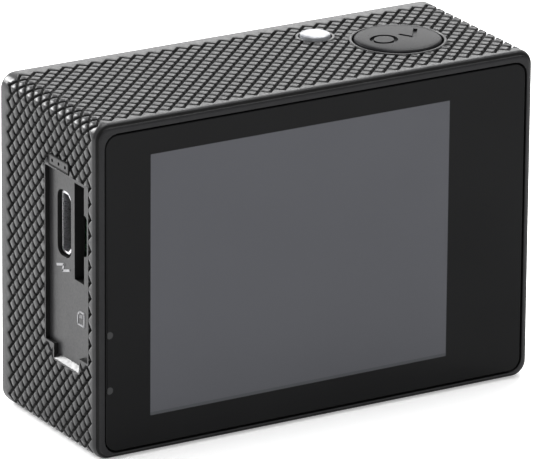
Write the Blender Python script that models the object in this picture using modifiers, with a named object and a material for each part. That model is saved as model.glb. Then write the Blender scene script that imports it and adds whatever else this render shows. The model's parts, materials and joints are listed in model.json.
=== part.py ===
"""Compact action camera, modelled piece by piece as it comes apart on a bench.

Local stations: X runs left to right as seen from the display side, Y runs from
the display face (0) to the front face, Z runs up from the base.  All stations
are millimetres and P() turns them into metres about the frame's origin, the
bottom centre of the whole object's box.
"""
import math

import bmesh
import bpy
from mathutils import Matrix, Vector

# ---------------------------------------------------------------- dimensions
MM = 0.001
W, D, H = 59.27, 23.35, 41.07        # body width, depth and height
LENS_PROUD = 4.70                    # lens ring beyond the front face
SIDE_PROUD = 0.25                    # up and down keys beyond the right face
CORNER_R = 2.00                      # rounded corners seen from the display side
REAR_R, FRONT_R = 0.90, 0.95         # edge rounding at both ends
WALL_SIDE, WALL_TOP, WALL_BASE = 2.0, 2.0, 2.4
KEY_TRAVEL = 0.25

GLASS = dict(x0=1.45, x1=58.05, z0=1.00, z1=39.55, y0=0.05, y1=1.05)
GLASS_GAP = 0.20
COVER_Y0, COVER_Y1, COVER_MARGIN = 21.60, 23.30, 1.45

RECESS = dict(y0=1.97, y1=11.95, z0=11.63, z1=33.07, depth=0.62)
NOTCH = dict(y0=4.00, y1=9.95, z0=9.85, z1=10.37)
USB = dict(y=8.43, z=26.72, w=3.22, h=8.04, shell_w=2.50, shell_h=7.50, face=1.03)
CARD = dict(y0=3.73, y1=5.98, z0=20.68, z1=32.46, scoop=(3.07, 24.12, 29.12))
MIC_PLATE = dict(y0=6.36, y1=11.00, z0=33.38, z1=34.60)

SHUTTER = (47.07, 11.00)             # top key centre, X and Y
SHUTTER_R = 5.26
INDICATOR = (39.20, 16.90)
INDICATOR_R = 1.83
POWER = (44.00, 21.00)               # front key centre, X and Z
POWER_R = 4.50
LENS = (13.20, 24.00)                # lens axis, X and Z
SIDE_KEYS = {"up_button": 28.5, "down_button": 19.5}
SIDE_KEY_Y = 12.6
SIDE_KEY_W, SIDE_KEY_H = 3.0, 6.6
LED_X, LED_Z = 1.90, {"status": 15.40, "charge": 8.60}

BATTERY = dict(x0=23.6, x1=53.0, y0=9.6, y1=19.4, z0=1.70, z1=35.5)
BAY_CLEAR, BAY_WALL = 0.3, 0.7
HINGE_X, HINGE_Z = 54.9, 1.0
DOOR_X0, DOOR_X1 = 18.0, 53.2
DOOR_Y0, DOOR_Y1, DOOR_T = 8.7, 20.2, 1.3
LATCH_TRAVEL = 1.5
INSERT = (11.0, 14.0)
SCREWS = ((4.6, 5.0), (4.6, 36.2), (55.7, 13.0), (55.7, 36.6))

X0 = -(W + SIDE_PROUD) / 2.0
Y0 = -(D + LENS_PROUD) / 2.0


def P(x, y, z):
    return Vector(((x + X0) * MM, (y + Y0) * MM, z * MM))


# ------------------------------------------------------------------ scene
for old in list(bpy.data.objects):
    bpy.data.objects.remove(old, do_unlink=True)

scene = bpy.context.scene
PARTS = bpy.data.collections.new("action_camera")
CUTTERS = bpy.data.collections.new("cutters")
scene.collection.children.link(PARTS)
scene.collection.children.link(CUTTERS)

MATS = {}


def material(name, colour, rough, metal=0.0, alpha=1.0):
    m = bpy.data.materials.new(name)
    m.use_nodes = True
    b = m.node_tree.nodes["Principled BSDF"]
    b.inputs["Base Color"].default_value = (*colour, 1.0)
    b.inputs["Roughness"].default_value = rough
    b.inputs["Metallic"].default_value = metal
    b.inputs["Alpha"].default_value = alpha
    MATS[name] = m


material("body_plastic", (0.060, 0.062, 0.066), 0.55)
material("cover_plastic", (0.045, 0.046, 0.050), 0.38)
material("key_plastic", (0.035, 0.036, 0.038), 0.40)
material("display_glass", (0.012, 0.012, 0.013), 0.08)
material("lens_glass", (0.02, 0.025, 0.035), 0.03)
material("lcd_grey", (0.10, 0.105, 0.11), 0.35)
material("backlight_white", (0.78, 0.78, 0.76), 0.5)
material("clear_plastic", (0.82, 0.83, 0.85), 0.18)
material("steel", (0.62, 0.63, 0.65), 0.25, 1.0)
material("brass", (0.72, 0.55, 0.25), 0.30, 1.0)
material("board_green", (0.02, 0.12, 0.06), 0.5)
material("chip_black", (0.02, 0.02, 0.022), 0.45)
material("inner_plastic", (0.03, 0.03, 0.032), 0.6)
material("flex_amber", (0.35, 0.17, 0.04), 0.4)
material("battery_wrap", (0.05, 0.055, 0.07), 0.45)
material("alloy_black", (0.03, 0.03, 0.032), 0.32, 0.8)
material("speaker_foil", (0.30, 0.30, 0.31), 0.4, 0.6)


def new_object(name, bm, mat, centre, cutter=False):
    """Store a bmesh whose points are metres about centre."""
    me = bpy.data.meshes.new(name)
    bmesh.ops.recalc_face_normals(bm, faces=bm.faces)
    bm.to_mesh(me)
    bm.free()
    ob = bpy.data.objects.new(name, me)
    ob.location = centre
    if cutter:
        CUTTERS.objects.link(ob)
        ob.hide_render = True
        ob.display_type = 'WIRE'
    else:
        PARTS.objects.link(ob)
        me.materials.append(MATS[mat])
    return ob


def smooth(ob, angle=35.0):
    ob.data.shade_smooth()
    ob.data.set_sharp_from_angle(angle=math.radians(angle))


def box(name, lo, hi, mat=None, origin=None, round_axis=None, r=0.0, seg=3,
        edge=0.0, edge_seg=1, edge_ends=(True, True)):
    """Box from station lo to hi; optional corner rounding about an axis and
    rounding of the rims at that axis's two ends."""
    cutter = mat is None
    mid = P(*[(a + b) / 2 for a, b in zip(lo, hi)])
    centre = P(*origin) if origin else mid
    size = [abs(b - a) * MM for a, b in zip(lo, hi)]
    bm = bmesh.new()
    bmesh.ops.create_cube(bm, size=1.0)
    bmesh.ops.scale(bm, vec=size, verts=bm.verts)
    if round_axis is not None and r > 0:
        ax = "XYZ".index(round_axis)
        along = [e for e in bm.edges
                 if abs((e.verts[0].co - e.verts[1].co)[ax]) > 1e-9]
        bmesh.ops.bevel(bm, geom=along, offset=r * MM, segments=seg,
                        affect='EDGES', profile=0.5)
    if edge > 0:
        ax = "XYZ".index(round_axis or "Z")
        half = size[ax] / 2
        rim = []
        for e in bm.edges:
            a, b = e.verts[0].co[ax], e.verts[1].co[ax]
            if edge_ends[1] and a > half - 1e-7 and b > half - 1e-7:
                rim.append(e)
            if edge_ends[0] and a < -half + 1e-7 and b < -half + 1e-7:
                rim.append(e)
        bmesh.ops.bevel(bm, geom=rim, offset=edge * MM, segments=edge_seg,
                        affect='EDGES', profile=0.5)
    bmesh.ops.translate(bm, verts=bm.verts, vec=mid - centre)
    return new_object(name, bm, mat, centre, cutter)


AXIS_ROT = {"Z": Matrix.Identity(4),
            "Y": Matrix.Rotation(math.radians(-90), 4, 'X'),
            "X": Matrix.Rotation(math.radians(90), 4, 'Y')}


def rod(name, start, length, r, axis="Z", mat=None, seg=24, chamfer=0.0,
        origin=None):
    """Round bar from station start, running length along +axis."""
    cutter = mat is None
    ends = list(start)
    ends["XYZ".index(axis)] += length / 2
    mid = P(*ends)
    centre = P(*origin) if origin else mid
    bm = bmesh.new()
    bmesh.ops.create_cone(bm, cap_ends=True, cap_tris=False, segments=seg,
                          radius1=r * MM, radius2=r * MM, depth=length * MM)
    if chamfer > 0:
        half = length * MM / 2
        rim = [e for e in bm.edges
               if abs(abs(e.verts[0].co.z) - half) < 1e-9
               and abs(e.verts[0].co.z - e.verts[1].co.z) < 1e-9]
        bmesh.ops.bevel(bm, geom=rim, offset=chamfer * MM, segments=1,
                        affect='EDGES')
    bmesh.ops.transform(bm, matrix=AXIS_ROT[axis], verts=bm.verts)
    bmesh.ops.translate(bm, verts=bm.verts, vec=mid - centre)
    return new_object(name, bm, mat, centre, cutter)


def turned(name, profile, at, axis, mat, seg=32, closed=False):
    """Turned piece: (radius, height) pairs down the outer side, top to
    bottom, spun by a Screw modifier about the given axis through at."""
    cutter = mat is None
    me = bpy.data.meshes.new(name)
    verts = [(r * MM, 0.0, h * MM) for r, h in profile]
    edges = [(i, i + 1) for i in range(len(verts) - 1)]
    if closed:
        edges.append((len(verts) - 1, 0))
    me.from_pydata(verts, edges, [])
    ob = bpy.data.objects.new(name, me)
    ob.location = P(*at)
    ob.rotation_euler = AXIS_ROT[axis].to_euler()
    m = ob.modifiers.new("turn", 'SCREW')
    m.axis = 'Z'
    m.angle = math.tau
    m.steps = m.render_steps = seg
    m.use_merge_vertices = True
    m.merge_threshold = 1e-6
    m.use_smooth_shade = True
    if cutter:
        CUTTERS.objects.link(ob)
        ob.hide_render = True
        ob.display_type = 'WIRE'
    else:
        PARTS.objects.link(ob)
        me.materials.append(MATS[mat])
    return ob


def boolean(ob, other, op='DIFFERENCE'):
    m = ob.modifiers.new(op.lower() + "_" + other.name, 'BOOLEAN')
    m.operation = op
    m.solver = 'EXACT'
    m.object = other
    return m


def cut(ob, *others):
    for o in others:
        boolean(ob, o)


def fuse(ob, *others):
    for o in others:
        boolean(ob, o, 'UNION')


# ------------------------------------------------------------------ housing
# One moulded ring: the textured band round the four sides, the thin rims
# round the display glass and the front cover, and the bosses inside.
housing = box("housing", (0, 0, 0), (W, D, H), "body_plastic",
              round_axis="Y", r=CORNER_R, seg=6, edge=REAR_R, edge_seg=3)

cut(housing,
    box("c_cavity", (WALL_SIDE, -3, WALL_BASE), (W - WALL_SIDE, D + 3, H - WALL_TOP),
        round_axis="Y", r=1.0, seg=2),
    box("c_glass_pocket",
        (GLASS["x0"] - GLASS_GAP, -3, GLASS["z0"] - GLASS_GAP),
        (GLASS["x1"] + GLASS_GAP, 1.35, GLASS["z1"] + GLASS_GAP),
        round_axis="Y", r=1.7, seg=4),
    box("c_cover_pocket", (COVER_MARGIN - 0.25, 21.3, COVER_MARGIN - 0.25),
        (W - COVER_MARGIN + 0.25, D + 3, H - COVER_MARGIN + 0.25),
        round_axis="Y", r=1.6, seg=4))

# screw bosses for the inner chassis, the tripod boss, hinge and latch blocks
fuse(housing,
     box("u_boss_bl", (1.0, 12.0, 1.2), (6.8, 19.4, 7.4)),
     box("u_boss_tl", (1.0, 12.0, 33.8), (6.8, 19.4, H - 1.0)),
     box("u_boss_br", (54.3, 12.0, 11.3), (W - 1.0, 19.4, 14.7)),
     box("u_boss_tr", (54.3, 12.0, 34.9), (W - 1.0, 19.4, H - 1.0)),
     rod("u_tripod_boss", (INSERT[0], INSERT[1], 1.0), 7.0, 5.2, "Z", seg=28),
     box("u_hinge_block", (54.3, 7.2, 1.4), (W - 1.0, 21.2, 3.4)),
     box("u_latch_block", (15.2, 11.2, 1.4), (22.3, 17.8, 3.6)))

side_cutters = []
for key_name, key_z in SIDE_KEYS.items():
    hw, hh = SIDE_KEY_W / 2, SIDE_KEY_H / 2
    side_cutters.append(box("c_hole_" + key_name,
                            (W - 1.5, SIDE_KEY_Y - hw - 0.2, key_z - hh - 0.2),
                            (W + 2, SIDE_KEY_Y + hw + 0.2, key_z + hh + 0.2),
                            round_axis="X", r=hw + 0.19, seg=4))
    side_cutters.append(box("c_pocket_" + key_name,
                            (W - 3.0, SIDE_KEY_Y - hw - 0.9, key_z - hh - 0.9),
                            (W - 1.05, SIDE_KEY_Y + hw + 0.9, key_z + hh + 0.9),
                            round_axis="X", r=1.3, seg=3))
cut(housing,
    *[rod("c_pilot_%d" % i, (sx, 13.5, sz), 8.0, 0.95, "Y", seg=12)
      for i, (sx, sz) in enumerate(SCREWS)],
    rod("c_tripod_hole", (INSERT[0], INSERT[1], -1.0), 8.7, 4.5, "Z", seg=28),
    # battery door recess, bay mouth, hinge pocket, pin bore, latch slot
    box("c_door_recess", (DOOR_X0 - 0.3, DOOR_Y0 - 0.3, -2), (DOOR_X1 + 0.6, DOOR_Y1 + 0.3, 1.6)),
    box("c_bay_mouth", (23.2, 9.2, -2), (53.6, 19.8, 4.0)),
    box("c_hinge_pocket", (53.4, 9.6, -2), (56.25, 19.3, 2.3)),
    rod("c_pin_bore", (HINGE_X, 7.95, HINGE_Z), 13.0, 0.5, "Y", seg=12),
    box("c_latch_slot", (16.4, 12.1, 1.3), (23.3, 16.9, 2.45)),
    # left side: port recess with its finger notch, two port mouths, mic plate
    box("c_recess", (-3, RECESS["y0"], RECESS["z0"]),
        (RECESS["depth"], RECESS["y1"], RECESS["z1"])),
    box("c_usb_mouth", (-3, USB["y"] - USB["w"] / 2, USB["z"] - USB["h"] / 2),
        (3, USB["y"] + USB["w"] / 2, USB["z"] + USB["h"] / 2),
        round_axis="X", r=1.05, seg=4),
    box("c_card_mouth", (-3, CARD["y0"], CARD["z0"]), (3, CARD["y1"], CARD["z1"])),
    box("c_card_scoop", (-3, CARD["scoop"][0], CARD["scoop"][1]),
        (1.4, CARD["y0"] + 0.4, CARD["scoop"][2]), round_axis="X", r=0.45, seg=2),
    box("c_notch", (-3, NOTCH["y0"], NOTCH["z1"]),
        (RECESS["depth"], NOTCH["y1"], RECESS["z0"] + 0.5)),
    box("c_mic_pocket", (-3, MIC_PLATE["y0"] - 0.15, MIC_PLATE["z0"] - 0.15),
        (0.75, MIC_PLATE["y1"] + 0.15, MIC_PLATE["z1"] + 0.15)),
    rod("c_mic_port", (0.2, 8.68, 34.0), 3.0, 0.45, "X", seg=12),
    # top: shutter key and indicator
    rod("c_shutter_hole", (SHUTTER[0], SHUTTER[1], 38.0), 6.0, SHUTTER_R + 0.22, "Z", seg=48),
    rod("c_shutter_pocket", (SHUTTER[0], SHUTTER[1], 38.0), 2.0, 6.4, "Z", seg=32),
    rod("c_indicator_seat", (INDICATOR[0], INDICATOR[1], H - 0.7), 3.0, INDICATOR_R + 0.2, "Z", seg=32),
    rod("c_indicator_hole", (INDICATOR[0], INDICATOR[1], 38.0), 6.0, 1.45, "Z", seg=20),
    *side_cutters,
    # right side: speaker holes; rear ledge: light pipe channels
    *[rod("c_speaker_%d" % i, (W - 3.5, 10.0 + 1.6 * i, 7.4), 5.0, 0.45, "X", seg=10)
      for i in range(5)],
    *[rod("c_led_%s" % n, (LED_X, 0.5, z), 5.6, 0.75, "Y", seg=14)
      for n, z in LED_Z.items()])

# finger notch: a ramp that rises from the recess floor to the side face
notch = bmesh.new()
ny0, ny1 = NOTCH["y0"], NOTCH["y1"]
ramp = NOTCH["z1"] - NOTCH["z0"]
mid_n = P(0, (ny0 + ny1) / 2, NOTCH["z0"] + ramp / 2)
bmesh.ops.create_cube(notch, size=1.0)
bmesh.ops.scale(notch, vec=(2.0 * RECESS["depth"] * MM, (ny1 - ny0) * MM, ramp * MM),
                verts=notch.verts)
for v in notch.verts:
    if v.co.x > 0 and v.co.z < 0:
        v.co.x = 0.02 * MM
cut(housing, new_object("c_notch_ramp", notch, None, mid_n, cutter=True))
smooth(housing)

# ------------------------------------------------------------------ display
box("rear_glass", (GLASS["x0"], GLASS["y0"], GLASS["z0"]),
    (GLASS["x1"], GLASS["y1"], GLASS["z1"]), "display_glass",
    round_axis="Y", r=1.5, seg=4, edge=0.12, edge_seg=1, edge_ends=(True, False))
box("lcd_panel", (6.2, 1.40, 3.6), (49.2, 2.20, 37.4), "lcd_grey")
box("lcd_backlight", (6.5, 2.50, 3.9), (48.9, 3.20, 37.1), "backlight_white")
lcd_frame = box("lcd_frame", (5.4, 1.45, 2.9), (50.4, 3.85, 38.1), "steel")
cut(lcd_frame, box("c_lcd_tray", (5.9, 0, 3.3), (49.5, 3.50, 37.7)))
# display ribbon: a bent strip from the panel's edge to the main board
bm = bmesh.new()
path = [(50.8, 2.5), (52.4, 2.5)]
path += [(52.4 + 1.45 * math.sin(a), 3.95 - 1.45 * math.cos(a))
         for a in [math.pi * k / 8 for k in range(1, 9)]]
path += [(50.2, 5.4)]
ribbon_mid = P(51.5, 4.0, 20.0)
rows = [[bm.verts.new(P(x, y, z) - ribbon_mid) for x, y in path] for z in (14.0, 26.0)]
for i in range(len(path) - 1):
    bm.faces.new((rows[0][i], rows[0][i + 1], rows[1][i + 1], rows[1][i]))
ribbon = new_object("lcd_ribbon", bm, "flex_amber", ribbon_mid)
sol = ribbon.modifiers.new("thickness", 'SOLIDIFY')
sol.thickness = 0.15 * MM
sol.offset = 0.0

# ------------------------------------------------------------------ boards
main_pcb = box("main_pcb", (2.6, 6.10, 2.9), (56.6, 6.90, 38.6), "board_green",
               round_axis="Y", r=1.0, seg=2)
box("main_processor", (30.0, 7.2, 13.0), (42.0, 8.2, 25.0), "chip_black")
box("memory_chip", (44.5, 7.2, 14.0), (52.5, 8.1, 24.0), "chip_black")
card = box("microsd_socket", (2.4, 4.25, 20.85), (16.8, 5.80, 32.35), "steel")
cut(card, box("c_card_throat", (1.0, 4.50, 21.1), (16.2, 5.50, 32.1)))


def port_outline(name, x0, x1, grow, mat=None):
    """Micro-USB outline along X: two chamfered corners towards the display,
    two small round ones away from it; grow offsets the outline."""
    bm = bmesh.new()
    bmesh.ops.create_cube(bm, size=1.0)
    bmesh.ops.scale(bm, vec=((x1 - x0) * MM, (USB["shell_w"] + 2 * grow) * MM,
                             (USB["shell_h"] + 2 * grow) * MM), verts=bm.verts)
    for side, off, seg in ((-1, 0.85 + 0.4 * grow, 1), (1, 0.5 + 0.6 * grow, 3)):
        edges = [e for e in bm.edges
                 if abs(e.verts[0].co.x - e.verts[1].co.x) > 1e-6
                 and e.verts[0].co.y * side > 0 and e.verts[1].co.y * side > 0
                 and abs(abs(e.verts[0].co.z) - (USB["shell_h"] / 2 + grow) * MM) < 1e-7]
        bmesh.ops.bevel(bm, geom=edges, offset=off * MM, segments=seg,
                        affect='EDGES', profile=0.5)
    return new_object(name, bm, mat, P((x0 + x1) / 2, USB["y"], USB["z"]), mat is None)


usb = port_outline("micro_usb_shell", USB["face"], 6.6, 0.0, "steel")
cut(usb, port_outline("c_usb_throat", -1.0, 6.3, -0.25))
tongue = box("micro_usb_tongue", (1.9, USB["y"] - 0.75, USB["z"] - 2.1),
             (5.4, USB["y"] - 0.15, USB["z"] + 2.1), "chip_black")
fuse(tongue, box("u_tongue_base", (4.9, USB["y"] - 0.75, USB["z"] - 2.4),
                 (6.0, USB["y"] + 0.7, USB["z"] + 2.4)))
for n, z in LED_Z.items():
    box(n + "_led", (2.35, 4.9, z - 0.6), (3.55, 5.8, z + 0.6), "backlight_white")
    rod(n + "_light_pipe", (LED_X, 1.35, z), 3.25, 0.45, "Y", "clear_plastic", seg=16)

# ------------------------------------------------------------------ chassis
BX0, BX1 = BATTERY["x0"] - BAY_CLEAR, BATTERY["x1"] + BAY_CLEAR
BY0, BY1 = BATTERY["y0"] - BAY_CLEAR, BATTERY["y1"] + BAY_CLEAR
BZ1 = BATTERY["z1"] + BAY_CLEAR
chassis = box("chassis", (2.4, BY1, 3.9), (56.9, BY1 + BAY_WALL, 38.7),
              "inner_plastic", round_axis="Y", r=1.0, seg=2)
fuse(chassis, box("u_bay", (BX0 - BAY_WALL, BY0 - BAY_WALL, 2.7),
                  (BX1 + BAY_WALL, BY1 + BAY_WALL * 0.5, BZ1 + BAY_WALL)))
cut(chassis,
    box("c_bay", (BX0, BY0, 0.0), (BX1, BY1, BZ1)),
    rod("c_lens_clear", (LENS[0], BY1 - 1, LENS[1]), 3.0, 9.2, "Y", seg=32),
    box("c_contact_slot", (27.7, 12.2, BZ1 - 1), (36.3, 15.8, BZ1 + 2)),
    *[rod("c_chassis_screw_%d" % i, (sx, BY1 - 1, sz), 3.0, 1.05, "Y", seg=12)
      for i, (sx, sz) in enumerate(SCREWS)])
for i, (sx, sz) in enumerate(SCREWS):
    turned("chassis_screw_%d" % (i + 1),
           [(0, 0.6), (1.2, 0.6), (1.5, 0.35), (1.5, 0.0), (0.7, 0.0),
            (0.7, -5.4), (0.35, -6.0), (0, -6.0)],
           (sx, BY1 + BAY_WALL + 0.2, sz), "Y", "steel", seg=14)

# ------------------------------------------------------------------ battery
battery = box("battery", (BATTERY["x0"], BATTERY["y0"], BATTERY["z0"]),
              (BATTERY["x1"], BATTERY["y1"], BATTERY["z1"]), "battery_wrap",
              round_axis="Z", r=1.6, seg=3, edge=0.3, edge_seg=1)
contacts = box("battery_contacts", (28.0, 12.5, 36.1), (36.0, 15.5, 37.3), "chip_black")
fuse(contacts, *[box("u_blade_%d" % i, (29.3 + 2.4 * i, 13.4, 35.72),
                     (29.9 + 2.4 * i, 14.6, 36.4)) for i in range(3)])

# door: plate, web and hinge barrel in one moulding, origin on the hinge axis
door = box("battery_door", (DOOR_X0, DOOR_Y0, 0.0), (DOOR_X1, DOOR_Y1, DOOR_T),
           "cover_plastic", origin=(HINGE_X, (DOOR_Y0 + DOOR_Y1) / 2, HINGE_Z))
fuse(door,
     box("u_door_web", (52.8, 9.9, 0.0), (HINGE_X, 19.0, 0.9)),
     rod("u_door_barrel", (HINGE_X, 9.9, HINGE_Z), 9.1, 1.0, "Y", seg=24))
cut(door,
    rod("c_door_bore", (HINGE_X, 9.0, HINGE_Z), 11.0, 0.5, "Y", seg=12),
    box("c_thumb_pocket", (18.8, 11.9, -2), (26.1, 17.1, 0.75)),
    box("c_web_slot", (19.85, 13.2, -2), (23.05, 15.8, 3)))
pin = rod("door_hinge_pin", (HINGE_X, 8.1, HINGE_Z), 12.7, 0.4, "Y", "steel", seg=12)

# latch: thumb pad outside, tongue inside, joined through the door's slot
latch = box("battery_latch", (20.7, 12.2, 0.05), (25.7, 16.8, 0.45), "key_plastic",
            origin=(22.2, 14.5, 1.0))
fuse(latch, box("u_latch_web", (21.7, 13.5, 0.25), (22.7, 15.5, 1.9)),
     box("u_latch_tongue", (18.2, 12.5, 1.6), (22.9, 16.5, 2.1)))
cut(latch, *[box("c_grip_%d" % i, (22.0 + 0.9 * i, 12.9, -1), (22.4 + 0.9 * i, 16.1, 0.2))
             for i in range(4)])

# ------------------------------------------------------------------ top keys
turned("shutter_button",
       [(0, 0.36), (1.6, 0.34), (3.2, 0.26), (4.4, 0.14), (5.0, 0.02), (5.2, -0.12),
        (SHUTTER_R, -0.3), (SHUTTER_R, -1.37), (6.1, -1.37), (6.1, -1.87),
        (1.2, -1.87), (1.2, -2.27), (0, -2.27)],
       (SHUTTER[0], SHUTTER[1], H), "Z", "key_plastic", seg=40)
box("top_board", (37.2, 8.9, 36.9), (53.6, 19.2, 37.4), "board_green")
sw = box("shutter_switch", (45.0, 9.0, 37.7), (49.1, 13.0, 38.2), "steel")
fuse(sw, rod("u_shutter_dome", (SHUTTER[0], SHUTTER[1], 38.0), 0.5, 1.2, "Z", seg=16))
turned("indicator_lens",
       [(0, 0.35), (1.2, 0.33), (1.65, 0.25), (INDICATOR_R, 0.10), (INDICATOR_R, -0.4),
        (1.15, -0.4), (1.15, -2.55), (0, -2.55)],
       (INDICATOR[0], INDICATOR[1], H), "Z", "clear_plastic", seg=32)
box("indicator_led", (38.4, 16.3, 37.7), (40.0, 17.5, 38.2), "backlight_white")

# ------------------------------------------------------------------ front
cover = box("front_cover", (COVER_MARGIN, COVER_Y0, COVER_MARGIN),
            (W - COVER_MARGIN, COVER_Y1, H - COVER_MARGIN), "cover_plastic",
            round_axis="Y", r=1.35, seg=4, edge=0.15, edge_seg=1, edge_ends=(False, True))
cut(cover,
    rod("c_ring_hole", (LENS[0], 20, LENS[1]), 6.0, 10.45, "Y", seg=48),
    rod("c_power_hole", (POWER[0], 20, POWER[1]), 6.0, POWER_R + 0.25, "Y", seg=36),
    rod("c_power_pocket", (POWER[0], 20, POWER[1]), 2.6, POWER_R + 1.1, "Y", seg=28))
turned("power_button",
       [(0, 0.42), (3.2, 0.40), (4.1, 0.34), (4.4, 0.22), (POWER_R, 0.05), (POWER_R, -1.0),
        (5.3, -1.0), (5.3, -1.5), (1.2, -1.5), (1.2, -1.7), (0, -1.7)],
       (POWER[0], COVER_Y1, POWER[1]), "Y", "key_plastic", seg=36)
sw = box("power_switch", (POWER[0] - 2.2, 20.65, POWER[1] - 2.2),
         (POWER[0] + 2.2, 21.05, POWER[1] + 2.2), "steel")
fuse(sw, rod("u_power_dome", (POWER[0], 20.9, POWER[1]), 0.38, 1.3, "Y", seg=16))

# ------------------------------------------------------------------ side keys
for key_name, key_z in SIDE_KEYS.items():
    hw, hh = SIDE_KEY_W / 2, SIDE_KEY_H / 2
    key = box(key_name, (W - 1.6, SIDE_KEY_Y - hw, key_z - hh),
              (W + SIDE_PROUD, SIDE_KEY_Y + hw, key_z + hh), "key_plastic",
              origin=(W, SIDE_KEY_Y, key_z), round_axis="X", r=hw - 0.02, seg=4,
              edge=0.18, edge_seg=1, edge_ends=(False, True))
    fuse(key,
         box("u_flange_" + key_name, (W - 1.85, SIDE_KEY_Y - hw - 0.6, key_z - hh - 0.6),
             (W - 1.40, SIDE_KEY_Y + hw + 0.6, key_z + hh + 0.6), round_axis="X", r=1.2, seg=2),
         rod("u_stem_" + key_name, (56.25, SIDE_KEY_Y, key_z), 1.6, 0.9, "X", seg=14))
    sw = box(key_name.replace("button", "switch"),
             (55.0, SIDE_KEY_Y - 1.5, key_z - 1.5), (55.6, SIDE_KEY_Y + 1.5, key_z + 1.5), "steel")
    fuse(sw, rod("u_dome_" + key_name, (55.4, SIDE_KEY_Y, key_z), 0.5, 0.9, "X", seg=14))
box("side_board", (54.3, 9.2, 15.3), (54.7, 16.4, 33.8), "board_green")
speaker = box("speaker", (54.4, 9.3, 4.0), (57.0, 17.1, 10.8), "speaker_foil",
              round_axis="X", r=1.2, seg=2)

# ------------------------------------------------------------------ microphone
mic_plate = box("mic_plate", (0.02, MIC_PLATE["y0"], MIC_PLATE["z0"]),
                (0.45, MIC_PLATE["y1"], MIC_PLATE["z1"]), "body_plastic",
                round_axis="X", r=0.25, seg=2)
cut(mic_plate, *[rod("c_mic_%d" % i, (-1, 7.15 + 1.53 * i, 34.0), 3.0, 0.22, "X", seg=10)
                 for i in range(3)])
rod("microphone", (2.35, 9.30, 34.1), 1.3, 2.0, "X", "steel", seg=20, chamfer=0.15)

# ------------------------------------------------------------------ lens
LX, LZ = LENS
box("sensor_board", (LX - 8.5, 10.4, LZ - 8.5), (LX + 8.5, 11.2, LZ + 8.5), "board_green")
box("image_sensor", (LX - 4.0, 11.5, LZ - 3.5), (LX + 4.0, 12.4, LZ + 3.5), "chip_black")
holder = box("lens_holder", (LX - 7.5, 11.5, LZ - 7.5), (LX + 7.5, 14.2, LZ + 7.5),
             "inner_plastic", round_axis="Y", r=1.0, seg=2)
fuse(holder, rod("u_holder_tube", (LX, 13.0, LZ), 5.2, 7.6, "Y", seg=32))
cut(holder, rod("c_holder_bore", (LX, 9.0, LZ), 12.0, 6.3, "Y", seg=32))
turned("lens_barrel",
       [(7.6, 7.1), (8.0, 6.8), (8.2, 0.0), (6.0, 0.0), (6.0, -4.2), (4.3, -4.2),
        (4.3, -1.6), (5.4, -1.6), (5.4, 2.2), (7.0, 2.2), (7.0, 7.1)],
       (LX, 18.6, LZ), "Y", "alloy_black", seg=40, closed=True)
turned("lens_rear_element",
       [(0, 0.9), (2.0, 0.7), (3.6, 0.2), (4.0, 0.0), (4.0, -0.9), (0, -0.9)],
       (LX, 15.6, LZ), "Y", "lens_glass", seg=28)
turned("lens_middle_element",
       [(0, 1.0), (2.5, 0.8), (4.5, 0.3), (5.0, 0.0), (5.0, -0.8), (3.0, -1.0), (0, -1.1)],
       (LX, 18.9, LZ), "Y", "lens_glass", seg=28)
turned("lens_front_element",
       [(0, 3.1), (1.5, 3.0), (3.0, 2.6), (4.5, 1.9), (5.7, 1.0), (6.5, 0.0), (6.6, -0.3),
        (6.6, -0.9), (4.5, -0.9), (3.0, -0.1), (1.5, 0.3), (0, 0.4)],
       (LX, 22.3, LZ), "Y", "lens_glass", seg=40)
turned("lens_ring",
       [(7.9, 4.75),
        (10.1, 4.75),
        (10.1, -1.3),
        (8.65, -1.3),
        (8.65, 3.85),
        (7.7, 4.0)],
       (LX, COVER_Y1, LZ), "Y", "alloy_black", seg=56, closed=True)
turned("lens_window", [(0, 0.8), (8.2, 0.8), (8.35, 0.65), (8.35, 0.0), (0, 0.0)],
       (LX, 26.05, LZ), "Y", "lens_glass", seg=40)

# ------------------------------------------------------------------ tripod insert
turned("tripod_insert",
       [(3.0, 7.2), (4.2, 7.2), (4.2, 0.25), (3.35, 0.25), (3.0, 0.6)],
       (INSERT[0], INSERT[1], 0.0), "Z", "brass", seg=24, closed=True)
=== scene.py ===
"""Looks of the compact action camera: knurled body, display window, keys, lens,
materials, light and camera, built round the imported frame."""
import json
import math

import bmesh
import bpy
from mathutils import Matrix, Vector

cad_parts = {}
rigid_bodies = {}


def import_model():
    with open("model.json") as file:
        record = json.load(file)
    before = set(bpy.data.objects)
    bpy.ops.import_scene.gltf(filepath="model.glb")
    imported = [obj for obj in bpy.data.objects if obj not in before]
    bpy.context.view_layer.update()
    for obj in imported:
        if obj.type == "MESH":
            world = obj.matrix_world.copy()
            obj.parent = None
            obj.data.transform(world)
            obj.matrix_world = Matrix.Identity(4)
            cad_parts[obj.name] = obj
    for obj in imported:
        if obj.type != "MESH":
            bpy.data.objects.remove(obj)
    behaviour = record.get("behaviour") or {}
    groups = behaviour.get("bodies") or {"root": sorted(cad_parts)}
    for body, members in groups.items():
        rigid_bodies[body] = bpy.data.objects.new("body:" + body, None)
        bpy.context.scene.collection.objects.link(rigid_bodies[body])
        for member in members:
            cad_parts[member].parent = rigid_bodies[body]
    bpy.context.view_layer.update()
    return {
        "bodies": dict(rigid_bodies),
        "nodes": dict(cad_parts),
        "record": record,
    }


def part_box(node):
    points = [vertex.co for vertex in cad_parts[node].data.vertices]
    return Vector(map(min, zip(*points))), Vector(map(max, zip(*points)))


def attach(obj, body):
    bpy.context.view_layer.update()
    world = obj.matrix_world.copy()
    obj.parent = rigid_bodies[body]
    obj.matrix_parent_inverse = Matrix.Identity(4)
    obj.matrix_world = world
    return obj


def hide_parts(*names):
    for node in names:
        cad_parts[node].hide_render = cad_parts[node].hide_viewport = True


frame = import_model()
MM = 0.001
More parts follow.
